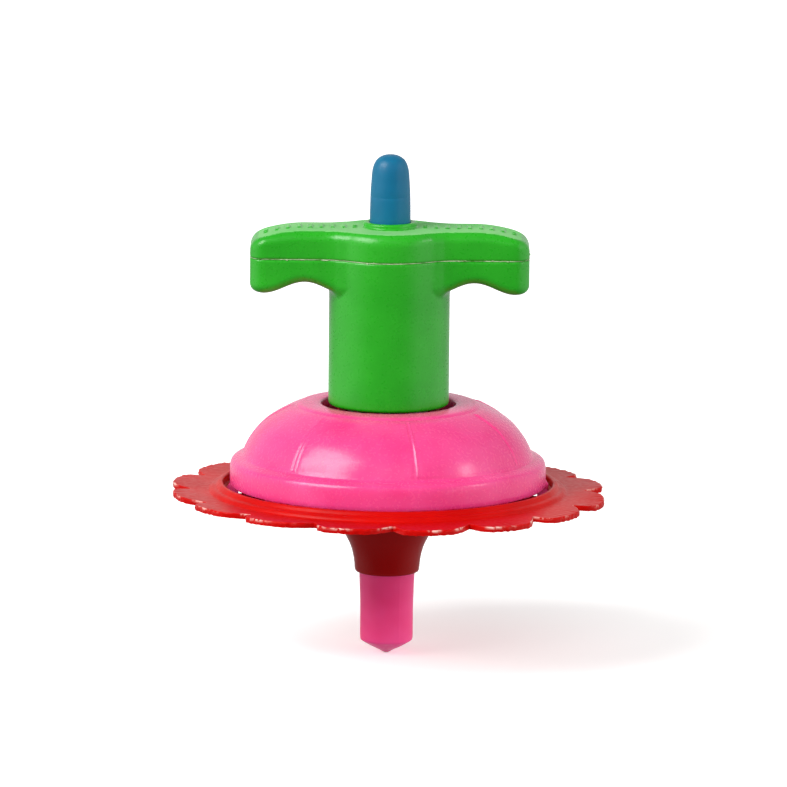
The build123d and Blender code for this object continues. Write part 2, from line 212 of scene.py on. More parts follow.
def ring_faces(rows, columns, closed):
    """Quads of a grid of rows turned round the axis, as corners (rows, columns, 4)."""
    last = rows if closed else rows - 1
    row, column = np.meshgrid(np.arange(last), np.arange(columns), indexing="ij")
    up, right = (row + 1) % rows, (column + 1) % columns
    corners = (row * columns + column, row * columns + right, up * columns + right, up * columns + column)
    return np.stack(corners, -1)


def lathe(profile, columns, shape=None):
    """Points of a profile turned round the axis; shape bends its radius and height."""
    angle = 2 * pi * np.arange(columns) / columns
    profile = np.asarray(profile, float)
    r = np.repeat(profile[:, :1], columns, 1)
    z = np.repeat(profile[:, 1:], columns, 1)
    if shape:
        r, z = shape(r, z, angle)
    return np.stack([r * np.cos(angle), r * np.sin(angle), z], -1).reshape(-1, 3)


# ---- distance fields for the handle ----------------------------------------------------

def meet(a, b, r):
    """Intersection of two distance fields with its edge rounded to radius r."""
    outside = np.hypot(np.maximum(a + r, 0), np.maximum(b + r, 0))
    return np.minimum(np.maximum(a, b), -r) + outside


def join(a, b, r):
    """Union of two distance fields with a fillet of radius r."""
    return -meet(-a, -b, r)


def plan(x, y):
    """Distance to the handle's outline from above: a round bulge, two wings and fillets."""
    x, y = np.abs(x), np.abs(y)
    qx, qy = x - (BAR_HALF - END_R), y - (WING_HALF - END_R)
    wing = np.hypot(np.maximum(qx, 0), np.maximum(qy, 0)) + np.minimum(np.maximum(qx, qy), 0) - END_R
    cy = WING_HALF + WAIST_R
    cx = ((TUBE_R + WAIST_R) ** 2 - cy**2) ** 0.5
    ux, uy = x - cx, y - cy
    waist = (ux < 0) & (cy * ux - cx * uy > 0)
    return np.where(waist, WAIST_R - np.hypot(ux, uy), np.minimum(wing, np.hypot(x, y) - TUBE_R))


def over(x, z):
    """Distance above the handle's top, which falls away towards its ends."""
    x = np.abs(x)
    run = BAR_HALF - FLAT_HALF
    radius = (run**2 + END_FALL**2) / (2 * END_FALL)
    falling = np.hypot(x - FLAT_HALF, z - BAR_TOP + radius) - radius
    return np.where(x > FLAT_HALF, falling, z - BAR_TOP)


def under(x, z):
    """Distance below the wings' underside, with an arch for a finger under each."""
    x = np.abs(x)
    reach = np.where(x > ARCH_X, ARCH_REACH_OUT, ARCH_REACH_IN)
    share = np.clip((x - ARCH_X) / reach, -1, 1)
    height = 0.5 * (1 + np.cos(pi * share))
    slope = 0.5 * ARCH * pi / reach * np.sin(pi * share)
    return (TIP_Z + ARCH * height - z) / np.hypot(1, slope)


def shoulder(x):
    """Radius of the rounding along the top edge, fuller on the bulge than on the wings' tips."""
    x = np.abs(x)
    wing_r, change = 1.7, 0.4
    bulge = ease(1 - (x - 2) / 7)
    tip = ease((x - 17) / 4)
    return wing_r + change * bulge - change * tip


def pins(x, y):
    """Distance in plan from the axis of the nearest dowel."""
    x = np.abs(x)
    return np.minimum(np.hypot(x - DOWELS[0], y), np.hypot(x - DOWELS[1], y))


def turned(x, y, angle):
    """Distances along and across a direction that is turned from X by an angle."""
    return x * cos(angle) + y * sin(angle), -x * sin(angle) + y * cos(angle)


def handle_shell(x, y, z):
    """Distance to the whole handle's outside, cap and body together."""
    wing_edge_r, foot_edge_r, fillet_r = 1.55, 0.5, 1.1
    wings = meet(plan(x, y), under(x, z), wing_edge_r)
    tube = meet(np.hypot(x, y) - TUBE_R, TUBE_FOOT - z, foot_edge_r)
    # The fillet under the wings fades out towards the tube's front and back
    fillet = fillet_r * ease((np.abs(x) - 6.4) / 2.2)
    blended = join(wings, tube, fillet)
    return meet(blended, over(x, z), shoulder(x))


def studs(x, y, z):
    """Raised pattern on both wings: a row of short ribs with two dots at each end."""
    x, y = np.abs(x), np.abs(y)
    pitch, middle, each_way = 1.8, 12.9, 3
    along = x - middle
    rib_r, dot_r, dot_y = 0.34, 0.36, 0.75
    height, edge_r = 0.2, 0.14
    nearest = np.clip(np.round(along / pitch), -each_way, each_way)
    half_length = 1.5 - 0.12 * np.abs(nearest)
    ribs = np.hypot(along - nearest * pitch, np.maximum(y - half_length, 0)) - rib_r
    dots = np.hypot(np.abs(along) - (each_way + 1) * pitch, y - dot_y) - dot_r
    return meet(np.minimum(ribs, dots), over(x, z) - height, edge_r)


def cap_field(p):
    """Distance to the upper half of the handle, with its dowels."""
    x, y, z = p[..., 0], p[..., 1], p[..., 2]
    r = np.hypot(x, y)
    top = np.minimum(handle_shell(x, y, z), studs(x, y, z))
    top = join(top, meet(r - COLLAR_R, z - COLLAR_TOP, 0.3), 0.35)
    hollow = meet(plan(x, y) + WALL, over(x, z) + WALL, 0.8)
    hollow = np.maximum(hollow, BOSS_R - pins(x, y))
    top = meet(np.maximum(top, -hollow), SEAM + SEAM_GAP - z, 0.12)
    # The field of a dowel stops inside its boss, so that it can't stand out of the cap's top
    above, far = z > SEAM + 2, 100
    dowels = meet(pins(x, y) - DOWEL_R, SEAM - DOWEL_LENGTH - z, 0.25) + far * above
    return meet(np.minimum(top, dowels), BUTTON_HOLE_R - r, 0.2)


def body_field(p):
    """Distance to the lower half of the handle with its tube."""
    x, y, z = p[..., 0], p[..., 1], p[..., 2]
    r = np.hypot(x, y)
    bore = meet(r - BORE_R, z - BULKHEAD[0], 0.2)
    chamber = meet(r - BORE_R, BULKHEAD[1] - z, 0.2)
    wings = meet(plan(x, y) + WALL, under(x, z) + WALL, 0.6)
    wings = np.maximum(np.maximum(wings, TUBE_R + 0.05 - r), BOSS_R - pins(x, y))
    dowel_holes = meet(pins(x, y) - DOWEL_HOLE_R, SEAM - DOWEL_HOLE_DEPTH - z, 0.1)
    along, across = turned(x, y, FINGER_TURN)
    slot = np.maximum(np.abs(along - SLOT_X) - SLOT_HALF_LONG, np.abs(across) - SLOT_HALF_WIDE)
    passage = np.maximum(np.minimum(r - BEARING_R, slot), BULKHEAD[0] - 1 - z)
    shell = handle_shell(x, y, z)
    for hole in (bore, chamber, wings, dowel_holes, passage):
        shell = np.maximum(shell, -hole)
    along, across = turned(x, y, LUG_TURN)
    lug = np.maximum(np.maximum(LUG[0] - along, along - LUG[1]), np.abs(across) - LUG_HALF)
    lug = np.maximum(np.maximum(lug, LUG_FOOT - z), z - BULKHEAD[0] - 0.3)
    return meet(np.minimum(shell, lug), z - SEAM + SEAM_GAP, 0.12)


def snap(field, verts, step):
    """Moves points on to a distance field's surface along its slope."""
    value = field(verts)
    slope = np.empty_like(verts)
    for axis in range(3):
        shift = np.zeros(3)
        shift[axis] = PROBE
        slope[:, axis] = (field(verts + shift) - field(verts - shift)) / (2 * PROBE)
    size = np.maximum((slope**2).sum(1), 0.25)
    return verts - np.clip(value / size, -step / 3, step / 3)[:, None] * slope


def skin(field, low, high, step):
    """Closed quad mesh of a distance field's surface: surface nets, evened out and snapped to it."""
    axes = [np.arange(a - 1.5 * step, b + 2.5 * step, step) for a, b in zip(low, high)]
    grid = np.stack(np.meshgrid(*axes, indexing="ij"), -1)
    d = field(grid)
    cells = tuple(n - 1 for n in d.shape)
    total, count = np.zeros(cells + (3,)), np.zeros(cells)
    quads = []
    crossings = []
    # Where the surface crosses each grid edge, added up in the four cells round that edge
    for axis in range(3):
        low_end = [slice(None)] * 3
        high_end = [slice(None)] * 3
        low_end[axis], high_end[axis] = slice(0, -1), slice(1, None)
        a, b = d[tuple(low_end)], d[tuple(high_end)]
        cross = (a < 0) != (b < 0)
        share = np.where(cross, a / np.where(cross, a - b, 1), 0)
        point = grid[tuple(low_end)].copy()
        point[..., axis] += share * step
        point *= cross[..., None]
        u, v = [k for k in range(3) if k != axis]
        for du in (0, 1):
            for dv in (0, 1):
                cut = [slice(None)] * 3
                cut[u] = slice(du, du + cells[u])
                cut[v] = slice(dv, dv + cells[v])
                total += point[tuple(cut)]
                count += cross[tuple(cut)]
        crossings.append((axis, u, v, cross, a < 0))
    number = np.full(cells, -1)
    active = count > 0
    number[active] = np.arange(active.sum())
    verts = total[active] / count[active][:, None]
    # One quad for each crossed edge, between the points of the four cells round it
    for axis, u, v, cross, inward in crossings:
        at = np.argwhere(cross)
        keep = (at[:, u] > 0) & (at[:, v] > 0) & (at[:, u] < cells[u]) & (at[:, v] < cells[v])
        at = at[keep]
        flip = inward[tuple(at.T)]
        corners = []
        for du, dv in ((1, 1), (0, 1), (0, 0), (1, 0)):
            cell = at.copy()
            cell[:, u] -= du
            cell[:, v] -= dv
            corners.append(number[tuple(cell.T)])
        quad = np.stack(corners, -1)
        flip = flip if axis != 1 else ~flip
        quads.append(np.where(flip[:, None], quad, quad[:, ::-1]))
    quads = np.vstack(quads)
    first, second = quads.ravel(), np.roll(quads, -1, 1).ravel()
    links = np.bincount(first, minlength=len(verts)) + np.bincount(second, minlength=len(verts))
    # Each point moves half way to its neighbours' mean and back on to the surface
    rounds = 4
    for _ in range(rounds):
        near = np.empty_like(verts)
        for axis in range(3):
            near[:, axis] = np.bincount(first, verts[second, axis], len(verts))
            near[:, axis] += np.bincount(second, verts[first, axis], len(verts))
        verts = snap(field, 0.5 * (verts + near / links[:, None]), step)
    return snap(field, verts, step), quads


# ---- materials -------------------------------------------------------------------------

def linear(*rgb):
    """Linear colour of an sRGB colour given from 0 to 255."""
    return [c / (255 * 12.92) if c <= 10.3 else ((c / 255 + 0.055) / 1.055) ** 2.4 for c in rgb] + [1]


def noise(tree, coord, scale, detail, roughness=0.5, stretch=None):
    """A noise texture in the piece's own coordinates, scale in features a metre."""
    node = tree.nodes.new("ShaderNodeTexNoise")
    node.inputs["Scale"].default_value = scale
    node.inputs["Detail"].default_value = detail
    node.inputs["Roughness"].default_value = roughness
    source = coord.outputs["Object"]
    if stretch:
        mapping = tree.nodes.new("ShaderNodeMapping")
        mapping.inputs["Scale"].default_value = stretch
        tree.links.new(source, mapping.inputs["Vector"])
        source = mapping.outputs["Vector"]
    tree.links.new(source, node.inputs["Vector"])
    return node.outputs["Fac"]


def ramp(tree, value, low, high, first, second):
    """Maps value from low..high to a blend of two colours."""
    node = tree.nodes.new("ShaderNodeValToRGB")
    node.color_ramp.elements[0].position, node.color_ramp.elements[1].position = low, high
    node.color_ramp.elements[0].color, node.color_ramp.elements[1].color = first, second
    tree.links.new(value, node.inputs["Fac"])
    return node.outputs["Color"]


def span(tree, value, low, high, first, second):
    """Maps value from low..high to a number from first to second."""
    node = tree.nodes.new("ShaderNodeMapRange")
    node.inputs["From Min"].default_value, node.inputs["From Max"].default_value = low, high
    node.inputs["To Min"].default_value, node.inputs["To Max"].default_value = first, second
    tree.links.new(value, node.inputs["Value"])
    return node.outputs["Result"]


def calc(tree, operation, first, second):
    """Math node on two number sockets."""
    node = tree.nodes.new("ShaderNodeMath")
    node.operation = operation
    tree.links.new(first, node.inputs[0])
    tree.links.new(second, node.inputs[1])
    return node.outputs[0]


def axes(tree, vector):
    """The X, Y and Z of a vector socket."""
    node = tree.nodes.new("ShaderNodeSeparateXYZ")
    tree.links.new(vector, node.inputs[0])
    return node.outputs


def bumped(tree, shader, layers):
    """Chains bump layers of (height, depth in millimetres) on to the shader's normal."""
    normal = None
    for height, depth in layers:
        node = tree.nodes.new("ShaderNodeBump")
        node.inputs["Strength"].default_value = 1
        node.inputs["Distance"].default_value = depth * MM
        tree.links.new(height, node.inputs["Height"])
        if normal:
            tree.links.new(normal, node.inputs["Normal"])
        normal = node.outputs["Normal"]
    tree.links.new(normal, shader.inputs["Normal"])


def blank(name):
    """A new material, its tree, its shader and its coordinate node."""
    material = bpy.data.materials.new(name)
    material.use_nodes = True
    tree = material.node_tree
    return material, tree, tree.nodes["Principled BSDF"], tree.nodes.new("ShaderNodeTexCoord")


def mixed(tree, factor, first, second):
    """Colour mix of two sockets or colours by a factor socket."""
    node = tree.nodes.new("ShaderNodeMix")
    node.data_type = "RGBA"
    tree.links.new(factor, node.inputs[0])
    for socket, value in ((node.inputs[6], first), (node.inputs[7], second)):
        if isinstance(value, list):
            socket.default_value = value
        else:
            tree.links.new(value, socket)
    return node.outputs[2]


def plastic(
    name, deep, pale, gloss, grain, pit=0.004, level=0.5, glow=0.0, glow_mm=1.0,
    glow_rgb=(1, 0.5, 0.5), edge=None, lines=None, cloud_scale=70, hub_painted_shade=None,
):
    """Moulded plastic: clouded colour, uneven gloss, a fine skin and a slow waviness.

    The mesh's flash attribute brings in the edge colour, pale flash with a painted highlight on it,
    and a foot, a top and a darker colour give painted shade, darker from the top down to the foot.
    """
    material, tree, shader, coord = blank(name)
    cloud = noise(tree, coord, cloud_scale, 3, 0.6)
    colour = ramp(tree, cloud, 0.35, 0.65, linear(*deep), linear(*pale))
    fine = noise(tree, coord, grain, 1, 0.5)
    # Painted shade: the colour darkens from the top down to the foot, and is darkest below it
    if hub_painted_shade:
        foot, top, dark = hub_painted_shade
        height = axes(tree, coord.outputs["Object"])["Z"]
        share = span(tree, height, foot * MM, top * MM, 1, 0)
        colour = mixed(tree, share, colour, linear(*dark))
    # The edge colour is pale flash with a painted highlight, in torn patches where the mesh marks the edge
    if edge:
        mark = tree.nodes.new("ShaderNodeAttribute")
        mark.attribute_name = "flash_and_glint"
        torn = span(tree, fine, 0.38, 0.56, 0, 1)
        share = calc(tree, "MULTIPLY", mark.outputs["Fac"], torn)
        colour = mixed(tree, share, colour, linear(*edge))
    tree.links.new(colour, shader.inputs["Base Color"])
    tree.links.new(span(tree, fine, 0.3, 0.7, *gloss), shader.inputs["Roughness"])
    shader.inputs["Specular IOR Level"].default_value = level
    if glow:
        shader.inputs["Subsurface Weight"].default_value = glow
        shader.inputs["Subsurface Radius"].default_value = glow_rgb
        shader.inputs["Subsurface Scale"].default_value = glow_mm * MM
    layers = [(noise(tree, coord, 120, 2), 0.12), (fine, pit)]
    if lines:
        streaks = noise(tree, coord, lines, 2, 0.5, (0.08, 0.08, 1))
        layers.append((streaks, pit * 1.5))
    bumped(tree, shader, layers)
    return material


def metal(name, tone, rough):
    """Drawn steel with fine streaks."""
    material, tree, shader, coord = blank(name)
    streak = noise(tree, coord, 2500, 3, 0.6, (1, 1, 0.1))
    lighter = [c + 25 for c in tone]
    colour = ramp(tree, streak, 0.3, 0.7, linear(*tone), linear(*lighter))
    tree.links.new(colour, shader.inputs["Base Color"])
    roughness = span(tree, streak, 0.3, 0.7, rough, rough + 0.15)
    tree.links.new(roughness, shader.inputs["Roughness"])
    shader.inputs["Metallic"].default_value = 1.0
    bumped(tree, shader, [(streak, 0.002)])
    return material


green = plastic(
    "green_moulded", (28, 162, 20), (40, 174, 30), (0.26, 0.34), 1500,
    pit=0.0002, glow=0.12, glow_mm=1.2, glow_rgb=(0.3, 1, 0.3),
)
# The top's paler green is a painted sheen, the pale light that the up-facing top catches; its rougher matt
# finish is the top's own
green_top_painted_sheen = plastic(
    "green_matt_top_painted_sheen", (98, 198, 94), (134, 206, 126), (0.5, 0.7), 2600, pit=0.005, level=0.4,
)
green_flash = plastic(
    "green_flash", (66, 138, 44), (224, 238, 200), (0.4, 0.7), 2600, pit=0.01, cloud_scale=420,
)
green_dark = plastic("dark_green_moulded", (18, 78, 34), (24, 92, 44), (0.3, 0.45), 2200)
blue = plastic(
    "blue_moulded", (3, 98, 136), (8, 112, 150), (0.36, 0.48), 2200,
    pit=0.0015, level=0.35, glow=0.08, glow_mm=0.8, glow_rgb=(0.2, 0.6, 1), lines=900,
)
pink = plastic(
    "pink_moulded", (238, 60, 133), (246, 82, 151), (0.2, 0.3), 1900,
    pit=0.0012, glow=0.12, glow_mm=0.8, glow_rgb=(1, 0.5, 0.7),
)
pink_stem = plastic(
    "pink_stem_moulded", (246, 62, 130), (254, 80, 148), (0.3, 0.42), 2000,
    pit=0.001, level=0.2, glow=0.3, glow_mm=1.5, glow_rgb=(1, 0.5, 0.7),
)
# Red: below the plate it darkens to painted shade, the shade that the disc casts on the hub
red = plastic(
    "red_moulded", (194, 1, 0), (208, 6, 2), (0.3, 0.4), 1500,
    pit=0.002, level=0.12, edge=(246, 196, 184), hub_painted_shade=(23.5, 26.4, (150, 0, 0)),
)
white = plastic("white_acetal", (214, 214, 206), (232, 232, 226), (0.35, 0.5), 2600)
steel = metal("drawn_steel", (176, 178, 184), 0.22)

# ---- handle ----------------------------------------------------------------------------

CAP_STEP, BODY_STEP = ((0.22, 0.25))

cap_corners = (-BAR_HALF, -TUBE_R, SEAM - DOWEL_LENGTH), (BAR_HALF, TUBE_R, COLLAR_TOP)
verts, quads = skin(cap_field, *cap_corners, CAP_STEP)
cap_looks = [green, green_top_painted_sheen]
cap = make("handle_cap_shell", verts, quads.tolist(), "launcher", cap_looks)
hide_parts("handle_cap")
# Up-facing faces of the top take the paler green: painted sheen
for face in cap.data.polygons:
    level = face.normal.z > 0.93 and face.center.z > (BAR_TOP - 2.2) * MM
    if level and face.center.xy.length > (COLLAR_R + 0.3) * MM:
        face.material_index = 1

body_corners = (-BAR_HALF, -TUBE_R, TUBE_FOOT), (BAR_HALF, TUBE_R, SEAM)
verts, quads = skin(body_field, *body_corners, BODY_STEP)
body = make("handle_body_shell", verts, quads.tolist(), "launcher", [green])
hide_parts("handle_body")


def outline_points(count):
    """Points of the handle's outline from above and the way out at each."""
    angle = 2 * pi * (np.arange(count) + 0.5) / count
    way = np.stack([np.cos(angle), np.sin(angle)], -1)
    # A start from a stretched circle spreads the points along the bar; then they walk in
    p = way * np.array([BAR_HALF + 2, TUBE_R + 2])
    walks, pace = 60, 0.6
    for _ in range(walks):
        x, y = p.T
        gx = (plan(x + PROBE, y) - plan(x - PROBE, y)) / (2 * PROBE)
        gy = (plan(x, y + PROBE) - plan(x, y - PROBE)) / (2 * PROBE)
        out = np.stack([gx, gy], -1)
        p = p - pace * plan(x, y)[:, None] * out
    return angle, p, out / np.linalg.norm(out, axis=1)[:, None]


# Moulding flash that stands out of the seam, more ragged on the right. A row of its section
# has its reach, a share of the flash's or millimetres inward if negative, and its height
FLASH_SECTION = ((-0.5, 0.045), (0.0, 0.05), (1.0, 0.02), (1.0, -0.02), (0.0, -0.05), (-0.5, -0.045))
FLASH_ROOT = 0.04
FLASH_POINTS = 900
angle, rim, out = outline_points(FLASH_POINTS)
ragged = ripple(angle, 5, 20, 90) + 0.6 * ripple(angle, 6, 90, 260)
right = 0.6 + 0.5 * ease(rim[:, 0] / 14)
lip = -0.03 + 0.16 * right * np.clip(ragged - 0.5, 0, 1.6) ** 1.1
sag = 0.10 * ripple(angle, 7, 20, 120)
rows = []
for reach, lift in FLASH_SECTION:
    outward = max(reach, 0)
    spread = rim + out * (lip * outward + min(reach, 0) - FLASH_ROOT)[:, None]
    rows.append(np.column_stack([spread, SEAM + lift + sag * outward * (lip > 0.03)]))
faces = ring_faces(len(rows), len(angle), True).reshape(-1, 4)
make("seam_flash", np.vstack(rows), faces.tolist(), "launcher", [green_flash])

# ---- dome ------------------------------------------------------------------------------

mouth = [
    (MOUTH_R, 38.6), (MOUTH_R, 39.6), (MOUTH_R, 41.1), (11.0, 41.3), (11.2, 41.4), (12.2, 41.4),
    (13.9, 41.37), (14.4, 41.28), (14.7, 41.12),
]
shell_line = curve([(14.9, 40.95), (16.6, 40.35), (20.0, 38.3), (22.3, 35.6), (23.6, 32.95)], 14)
rim_line = [
    (23.66, 32.8), (23.72, 32.7), (23.9, 32.6), (24.5, 32.4), (25.05, 32.18), (25.3, 32.0),
    (25.45, 31.8), (25.6, 31.4), (25.68, 30.9), (RIM_R, 30.2), (RIM_R, 29.4), (RIM_R, 28.9),
    (RIM_R, RIM_FOOT + 0.2), (25.62, RIM_FOOT + 0.04),
]
foot_line = [(r, RIM_FOOT) for r in (25.5, 25.46, 25.42, 25.38, 25.3, 24.8, 24.36)]
inner_line = curve([(22.3, 32.0), (21.0, 34.9), (19.1, 37.1), (15.8, 39.2), (12.4, 39.9)], 6)
inside = [
    (RIM_INNER_R, RIM_FOOT + 0.2), (RIM_INNER_R, 30.7), *inner_line, (12.4, 38.7), (12.3, 38.6),
]
dome_profile = np.array([*mouth, *shell_line, *rim_line, *foot_line, *inside])
shell_from = len(mouth)
shell_to = shell_from + len(shell_line)
foot_from = shell_to + len(rim_line)

# A hook's section, in place of the points of the foot
HOOK_LINE = (
    (25.5, 26.05), (BARB_R, 25.9), (26.9, 25.5), (26.2, HOOK_FOOT), (25.4, HOOK_FOOT),
    (24.8, HOOK_FOOT), (24.36, HOOK_FOOT),
)
HOOK_R, HOOK_HALF = 24.9, 1.5
FEET_HALF = 2.5
NUB_ANGLE, NUB_WIDTH, NUB_REACH = radians(-1), radians(1.3), 0.5

tangent = np.gradient(dome_profile, axis=0)
normal = np.stack([tangent[:, 1], -tangent[:, 0]], -1)
normal /= np.linalg.norm(normal, axis=1)[:, None]
fade = np.zeros(len(dome_profile))
share = np.linspace(0, 1, shell_to - shell_from)
fade[shell_from:shell_to] = ease((share - 0.04) / 0.2) * ease((1.0 - share) / 0.05)


def bell(x, middle, width):
    """Smooth bump of height 1 at the middle."""
    return np.exp(-(((x - middle) / width) ** 2))


def dome_shape(r, z, angle):
    """Petals over the shell, snap hooks and feet under the rim, and a gate nub at the right."""
    t = (turn(angle, PETAL_ANGLE) / (2 * pi / PETALS)) % 1
    crown = 0.13 * (np.sin(pi * t) ** 0.6) - 0.11
    step = 0.06 * ease((t - 0.3) / 0.6)
    line = 0.012
    bead = 0.13 * bell(t, 0.985, line) + 0.05 * bell(t, 0.02, line)
    valley = -0.06 * bell(t, 0.004, line)
    relief = crown + step + bead + valley
    slow = 0.03 * ripple(angle, 11, 2, 9)
    r = r + (fade * normal[:, 0])[:, None] * (relief + slow)
    z = z + (fade * normal[:, 1])[:, None] * (relief + slow)
    quarter = turn(angle * 4, 0) / 4
    hook = np.abs(quarter) * HOOK_R < HOOK_HALF
    for k, (hook_r, hook_z) in enumerate(HOOK_LINE, foot_from):
        r[k] = np.where(hook, hook_r, r[k])
        z[k] = np.where(hook, hook_z, z[k])
    stand = np.abs(np.abs(quarter) - pi / 4) * RIM_INNER_R < FEET_HALF
    for k in range(foot_from + 4, foot_from + len(foot_line)):
        z[k] = np.where(stand, PLATE[1] + 0.02, z[k])
    at_foot = (dome_profile[:, 1] < RIM_FOOT + 0.7) & (dome_profile[:, 0] > 25.35)
    nub = NUB_REACH * bell(turn(angle, NUB_ANGLE), 0, NUB_WIDTH) * at_foot[:, None]
    near_foot = np.abs(dome_profile[:, 1] - RIM_FOOT) < 0.25
    uneven = 0.02 * ripple(angle, 12, 20, 120) * near_foot[:, None]
    return r + nub, z + uneven * ~hook


DOME_COLUMNS = 672
verts = lathe(dome_profile, DOME_COLUMNS, dome_shape)
faces = ring_faces(len(dome_profile), DOME_COLUMNS, True).reshape(-1, 4)
dome = make("dome_petals", verts, faces.tolist(), "top", [pink], sharp=SHARP)
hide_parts("dome")

# ---- flower disc -----------------------------------------------------------------------

EDGE_R = 35.0
SOCKET_R, SOCKET_BORE_R, RIB_R = 8.2, 7.0, 4.7
SHAFT_HOLE_R = 3.62

hub_line = curve(
    [(5.25, 14.0), (5.5, 16.1), (6.0, 17.9), (6.85, 19.6), (8.3, 22.2), (10.2, 24.9), (12.2, PLATE[0])],
    5,
)
hub = [
    (0, 24.55), (1.8, 24.55), (SHAFT_HOLE_R, 24.55), (SHAFT_HOLE_R, 19.0), (SHAFT_HOLE_R, 13.62),
    (3.7, HUB_FOOT), (4.55, HUB_FOOT), (4.85, 13.51), (5.08, 13.62), (5.2, 13.8), *hub_line,
]
plate_below = [(r, PLATE[0]) for r in (14.0, 18.0, *WINDOW, 28.0, LOBES_FROM)]
lobes_below = [(LOBES_FROM + k, PLATE[0]) for k in (1, 2, 3, 4)]
lobe_edge = [(EDGE_R, z) for z in (26.03, 26.14, 26.4, 26.62, 26.8)] + [(34.9, 26.9)]
lobes_above = [(r, PLATE[1]) for r in (34.78, *(LOBES_FROM + k for k in (4, 3, 2, 1)), LOBES_FROM)]
ridge = [
    (29.15, 26.92), (29.03, 27.0), (28.95, 27.15), (28.8, 27.38), (28.6, 27.53), (28.3, 27.6),
    (28.02, 27.63), (27.9, 27.7), (27.78, 27.86), (27.6, 28.14), (27.48, 28.27), (27.3, 28.34),
    (27.1, RIDGE_TOP), (26.94, RIDGE_TOP - 0.03), (26.84, 28.2), (RIDGE_R, 27.6), (RIDGE_R, 26.98),
    (26.7, 26.9),
]
plate_above = [(r, PLATE[1]) for r in (*WINDOW[::-1], 18.0, 12.0, 9.0)]
socket = [
    (8.45, 27.0), (8.22, 27.3), (SOCKET_R, 32.0), (SOCKET_R, 38.0), (SOCKET_R, SOCKET_TOP - 0.2),
    (SOCKET_R - 0.2, SOCKET_TOP),
]
socket_bore = [
    (SOCKET_BORE_R + 0.2, SOCKET_TOP), (SOCKET_BORE_R, SOCKET_TOP - 0.2), (SOCKET_BORE_R, 34.0),
    (SOCKET_BORE_R, 27.1), (6.98, PLATE[1]),
]
pip = [(4.0, PLATE[1]), (2.2, PLATE[1]), (2.0, 27.2), (2.0, 35.2), (1.8, 35.5), (0, 35.5)]

lobes_from = len(hub) + len(plate_below)
edge_from = lobes_from + len(lobes_below)
edge_to = edge_from + len(lobe_edge)
lobes_to = edge_to + len(lobes_above)
bore_from = lobes_to + len(ridge) + len(plate_above) + len(socket)
bore_to = bore_from + len(socket_bore)
disc_profile = np.array(
    hub + plate_below + lobes_below + lobe_edge + lobes_above
    + ridge + plate_above + socket + socket_bore + pip
)

# One lobe's outline, from notch to notch: a blunt rise, a long crown and a slant back
LOBE_SHARES = (0, 0.04, 0.1, 0.16, 0.38, 0.6, 0.72, 0.86, 1)
LOBE_RADII = (NOTCH_R, 33.6, 34.75, 35.1, LOBE_R, 35.2, 34.85, 33.5, NOTCH_R)


def soften(values):
    """Running mean of each value and its two neighbours round a ring."""
    return (np.roll(values, 1) + values + np.roll(values, -1)) / 3


def lobe_radius(angle):
    """Radius of the lobed outline, with the share of a lobe and the lobe's number."""
    lobe_angle = 2 * pi / LOBES
    share = (turn(angle, NOTCH_ANGLE) / lobe_angle) % 1
    lobe = np.floor((turn(angle, NOTCH_ANGLE) % (2 * pi)) / lobe_angle).astype(int) % LOBES
    uneven = np.random.default_rng(21).normal(0, 0.14, LOBES)[lobe]
    radius = np.interp(share, LOBE_SHARES, LOBE_RADII) + uneven * np.sin(pi * share)
    return soften(soften(radius)), share, lobe


def disc_shape(r, z, angle):
    """Lobes, torn flash on their edges, a slight warp, and the ribs in the socket."""
    outline, share, lobe = lobe_radius(angle)
    for k in range(lobes_from, lobes_to):
        part = (disc_profile[k, 0] - LOBES_FROM) / (EDGE_R - LOBES_FROM)
        r[k] = LOBES_FROM + (outline - LOBES_FROM) * part
    torn = 0.03 * ripple(angle, 31, 60, 200) + 0.015 * ripple(angle, 32, 200, 420)
    for k in range(edge_from, edge_to):
        height = (disc_profile[k, 1] - PLATE[0]) / (PLATE[1] - PLATE[0])
        tear = np.clip(ripple(angle, 33 + k, 80, 300) - 0.3, 0, 2) * (0.2 < height < 0.8)
        r[k] = r[k] + (torn + 0.09 * tear)
    weight = ease((r - 29.2) / 6.0)
    tilt = np.random.default_rng(22).normal(0, 0.09, LOBES)[lobe] * np.sin(pi * share) ** 0.7
    warp = 0.2 * (np.cos(angle - radians(140)) + 0.64) + 0.08 * np.cos(2 * angle + 4.2) + tilt
    warp += 0.3 * bell(turn(angle, radians(2)), 0, radians(9))
    warp -= 0.25 * bell(turn(angle, radians(-14)), 0, radians(7))
    edge = ease((r - 33.0) / 2.0) * 0.03 * ripple(angle, 34, 60, 220)
    z = z + weight * warp + edge
    rib = np.abs(turn(angle * 3, 0) / 3) < radians(10.4)
    for k in range(bore_from, bore_to):
        r[k] = np.where(rib, RIB_R if k > bore_from else RIB_R + 0.2, r[k])
    wavy = 0.02 * ripple(angle, 35, 3, 30)
    on_ridge = bell(disc_profile[:, 0], 27.9, 1.0) * (disc_profile[:, 1] > 27.1)
    return r, z + wavy * on_ridge[:, None]


DISC_COLUMNS = 896
verts = lathe(disc_profile, DISC_COLUMNS, disc_shape)
faces = ring_faces(len(disc_profile), DISC_COLUMNS, False)

